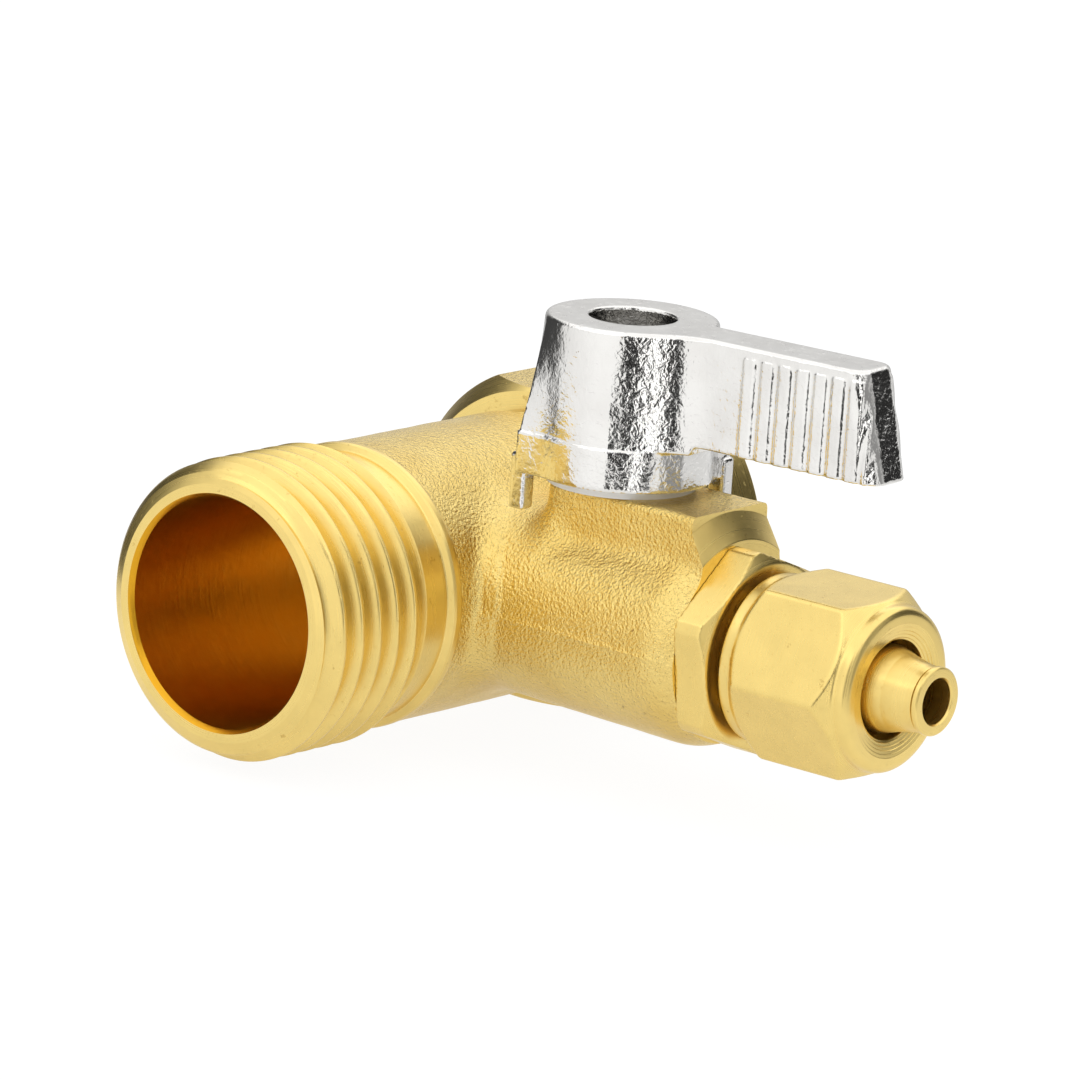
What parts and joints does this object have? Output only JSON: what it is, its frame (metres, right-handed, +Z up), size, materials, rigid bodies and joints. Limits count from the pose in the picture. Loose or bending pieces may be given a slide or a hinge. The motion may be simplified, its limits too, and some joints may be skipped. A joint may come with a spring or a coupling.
{
  "type": "quarter-turn mini ball valve on a run tee",
  "caption": "Brass run tee, male and female half-inch threads, with a lever-turned mini ball valve on its branch and a hex compression nut over a tapered tube barb.",
  "frame": {"origin": "where the axis of the run crosses the axis of the branch", "axes": "+X out of the branch along the tube barb, -Y out of the male thread, +Y out of the female end, +Z up along the stem"},
  "size_m": [0.0569, 0.0446, 0.0324],
  "materials": {
    "body_brass": "blasted",
    "turned_brass": "satin",
    "stem_brass": "satin",
    "lever_plating": "polished, pebbled",
    "ball_chrome": "polished",
    "screw_steel": "satin",
    "ptfe": "waxy",
    "white_nylon": "matte",
    "rubber": "matte"
  },
  "bodies": {
    "tee": {"tee_body": "body_brass", "seat_ring_inner": "ptfe", "seat_ring_outer": "ptfe", "stem_thrust_washer": "ptfe", "handle_bushing": "white_nylon", "branch_connector": "turned_brass", "connector_seal": "rubber"},
    "lever": {"lever_handle": "lever_plating", "handle_screw": "screw_steel", "screw_lock_washer": "screw_steel", "stem": "stem_brass", "stem_oring_lower": "rubber", "stem_oring_upper": "rubber", "ball": "ball_chrome"},
    "nut": {"compression_nut": "turned_brass"}
  },
  "joints": [
    {"name": "lever_turn", "type": "hinge", "parent": "tee", "child": "lever", "pos_m": [0.0162, 0, 0], "axis": [0, 0, 1], "range_deg": [-4, 86]},
    {"name": "nut_turn", "type": "hinge", "parent": "tee", "child": "nut", "pos_m": [0.035, 0, 0], "axis": [1, 0, 0], "range_deg": [-200, 1800]}
  ]
}
